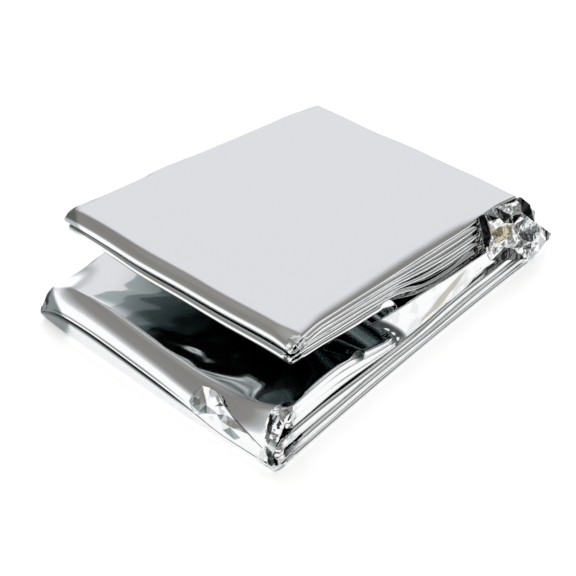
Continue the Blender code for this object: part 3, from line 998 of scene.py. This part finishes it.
def foil_material():
    material = bpy.data.materials.new("foil")
    material.use_nodes = True
    nodes, links = material.node_tree.nodes, material.node_tree.links
    shader = nodes["Principled BSDF"]
    shader.inputs["Metallic"].default_value = 1.0
    shader.inputs["Roughness"].default_value = 0.07

    def math_node(operation, first, second):
        node = nodes.new("ShaderNodeMath")
        node.operation = operation
        for socket, value in zip(node.inputs, (first, second)):
            if isinstance(value, float):
                socket.default_value = value
            else:
                links.new(value, socket)
        return node.outputs["Value"]

    def attribute(name):
        node = nodes.new("ShaderNodeAttribute")
        node.attribute_name = name
        return node.outputs["Fac"]

    place = nodes.new("ShaderNodeTexCoord").outputs["Object"]
    share = attribute("crumpled")
    dark = attribute("shaded")
    normal = None
    for (count, slope, least), distance, power in ((SMALL_FACETS, "EUCLIDEAN", 2.0), (FACETS, "MANHATTAN", 1.0)):
        cells = nodes.new("ShaderNodeTexVoronoi")
        cells.distance = distance
        cells.inputs["Scale"].default_value = count
        links.new(place, cells.inputs["Vector"])
        part = math_node("POWER", share, power)
        bump = nodes.new("ShaderNodeBump")
        bump.inputs["Strength"].default_value = 1.0
        bump.inputs["Distance"].default_value = slope / count
        links.new(math_node("MULTIPLY", cells.outputs["Distance"], part), bump.inputs["Height"])
        if normal is not None:
            links.new(normal, bump.inputs["Normal"])
        normal = bump.outputs["Normal"]
        # Some crumpled facets are painted black, as painted dark reflections.
        chosen = math_node("GREATER_THAN", cells.outputs["Color"], least)
        dark = math_node("MAXIMUM", dark, math_node("MULTIPLY", chosen, math_node("MULTIPLY", part, 0.95)))
    waves = nodes.new("ShaderNodeTexNoise")
    waves.inputs["Scale"].default_value = 60.0
    waves.inputs["Detail"].default_value = 2.0
    links.new(place, waves.inputs["Vector"])
    soft = nodes.new("ShaderNodeBump")
    soft.inputs["Strength"].default_value = 0.05
    soft.inputs["Distance"].default_value = 0.002
    links.new(waves.outputs["Fac"], soft.inputs["Height"])
    links.new(normal, soft.inputs["Normal"])
    links.new(soft.outputs["Normal"], shader.inputs["Normal"])
    # Base colour: the foil colour darkened by the painted shade, then mixed with the painted warm reflection.
    tint = nodes.new("ShaderNodeValToRGB")
    stops = tint.color_ramp.elements
    stops.new(0.5)
    for stop, at, colour in zip(stops, (0.0, 0.5, 1.0), (FOIL_COLOUR, SHADED_COLOUR, DARK_COLOUR)):
        stop.position = at
        stop.color = colour
    links.new(dark, tint.inputs["Fac"])
    warm_reflection = nodes.new("ShaderNodeMix")
    warm_reflection.data_type = "RGBA"
    links.new(attribute("warm_reflection"), warm_reflection.inputs["Factor"])
    links.new(tint.outputs["Color"], warm_reflection.inputs[6])
    warm_reflection.inputs[7].default_value = WARM_REFLECTION_COLOUR
    links.new(warm_reflection.outputs[2], shader.inputs["Base Color"])
    return material


def make_blanket():
    blanket = bpy.data.objects.new("foil_strip", strip_mesh())
    bpy.context.scene.collection.objects.link(blanket)
    blanket.data.materials.append(foil_material())
    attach(blanket, "root")
    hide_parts("foil_blanket")
    return blanket


FLOOR_SIZE = 4.0


def make_floor():
    mesh = bpy.data.meshes.new("floor")
    half = FLOOR_SIZE / 2
    mesh.from_pydata([(-half, -half, 0), (half, -half, 0), (half, half, 0), (-half, half, 0)], [], [(0, 1, 2, 3)])
    floor = bpy.data.objects.new("floor", mesh)
    bpy.context.scene.collection.objects.link(floor)
    material = bpy.data.materials.new("floor")
    material.use_nodes = True
    shader = material.node_tree.nodes["Principled BSDF"]
    shader.inputs["Base Color"].default_value = (0.92, 0.92, 0.92, 1.0)
    shader.inputs["Roughness"].default_value = 0.9
    shader.inputs["Emission Color"].default_value = (1.0, 1.0, 1.0, 1.0)
    shader.inputs["Emission Strength"].default_value = 0.56
    shader.inputs["Specular IOR Level"].default_value = 0.0
    mesh.materials.append(material)
    return floor


# Studio surround: brightness at heights above the horizon (as the sine of the elevation), and a soft pale panel.
SURROUND = (
    (0.0, 1.12, (1.0, 1.0, 1.0)),
    (0.03, 1.08, (1.0, 1.0, 1.0)),
    (0.10, 0.74, (0.96, 0.98, 1.0)),
    (0.22, 0.46, (0.98, 0.985, 1.0)),
    (0.36, 0.28, (1.0, 0.98, 0.94)),
    (0.75, 0.25, (1.0, 0.975, 0.92)),
    (1.0, 0.40, (1.0, 0.98, 0.94)),
)
# Patches of the surround: the way to each, the cosines where it starts and is whole, and its light.
PATCHES = (
    ("panel", (-0.50, 0.66, 0.56), (0.84, 0.93), (0.82, 0.82, 0.84)),
    ("dark camera side", (0.52, -0.57, 0.64), (0.88, 0.96), (0.10, 0.10, 0.10)),
)


def make_surround():
    world = bpy.data.worlds.new("studio")
    bpy.context.scene.world = world
    world.use_nodes = True
    nodes, links = world.node_tree.nodes, world.node_tree.links
    background = nodes["Background"]
    place = nodes.new("ShaderNodeTexCoord")
    split = nodes.new("ShaderNodeSeparateXYZ")
    ramp = nodes.new("ShaderNodeValToRGB")
    links.new(place.outputs["Generated"], split.inputs["Vector"])
    links.new(split.outputs["Z"], ramp.inputs["Fac"])
    stops = ramp.color_ramp.elements
    while len(stops) < len(SURROUND):
        stops.new(0.5)
    for stop, (at, light, tint) in zip(stops, SURROUND):
        stop.position = at
        stop.color = (light * tint[0], light * tint[1], light * tint[2], 1.0)
    colour = ramp.outputs["Color"]
    for _, way, (low, high), light in PATCHES:
        toward = nodes.new("ShaderNodeVectorMath")
        toward.operation = "DOT_PRODUCT"
        toward.inputs[1].default_value = Vector(way).normalized()
        links.new(place.outputs["Generated"], toward.inputs[0])
        edge = nodes.new("ShaderNodeMapRange")
        edge.interpolation_type = "SMOOTHSTEP"
        edge.inputs["From Min"].default_value = low
        edge.inputs["From Max"].default_value = high
        links.new(toward.outputs["Value"], edge.inputs["Value"])
        mix = nodes.new("ShaderNodeMix")
        mix.data_type = "RGBA"
        links.new(edge.outputs["Result"], mix.inputs["Factor"])
        links.new(colour, mix.inputs[6])
        mix.inputs[7].default_value = (*light, 1.0)
        colour = mix.outputs[2]
    links.new(colour, background.inputs["Color"])
    background.inputs["Strength"].default_value = 1.0


def make_lamp(name, place, size, power):
    lamp = bpy.data.lights.new(name, "AREA")
    lamp.shape = "DISK"
    lamp.size = size
    lamp.energy = power
    holder = bpy.data.objects.new(name, lamp)
    holder.location = place
    holder.rotation_euler = (Vector((0.0, 0.0, 0.0)) - Vector(place)).to_track_quat("-Z", "Y").to_euler()
    holder.visible_glossy = False
    bpy.context.scene.collection.objects.link(holder)
    return holder


# The camera: its direction from the target, distance, focal length in pixels of the 576 frame.
CAMERA_TARGET = Vector((8.89, -17.57, 14.0))
CAMERA_AZIMUTH = 42.13
CAMERA_ELEVATION = 39.64
CAMERA_DISTANCE = 342.9
FOCAL_PIXELS = 1231.0
FRAME_PIXELS = 576.0


def make_camera():
    data = bpy.data.cameras.new("camera")
    data.sensor_width = 36.0
    data.lens = FOCAL_PIXELS / FRAME_PIXELS * data.sensor_width
    camera = bpy.data.objects.new("camera", data)
    bpy.context.scene.collection.objects.link(camera)
    turn, lift = math.radians(CAMERA_AZIMUTH), math.radians(CAMERA_ELEVATION)
    back = Vector((math.sin(turn) * math.cos(lift), -math.cos(turn) * math.cos(lift), math.sin(lift)))
    camera.location = (CAMERA_TARGET + back * CAMERA_DISTANCE) * MM
    camera.rotation_euler = (-back).to_track_quat("-Z", "Y").to_euler()
    bpy.context.scene.camera = camera


make_blanket()
make_floor()
make_surround()
make_lamp("overhead", (-0.3, 0.2, 1.6), 1.6, 8.0)
make_camera()
bpy.context.scene.view_settings.view_transform = "Standard"
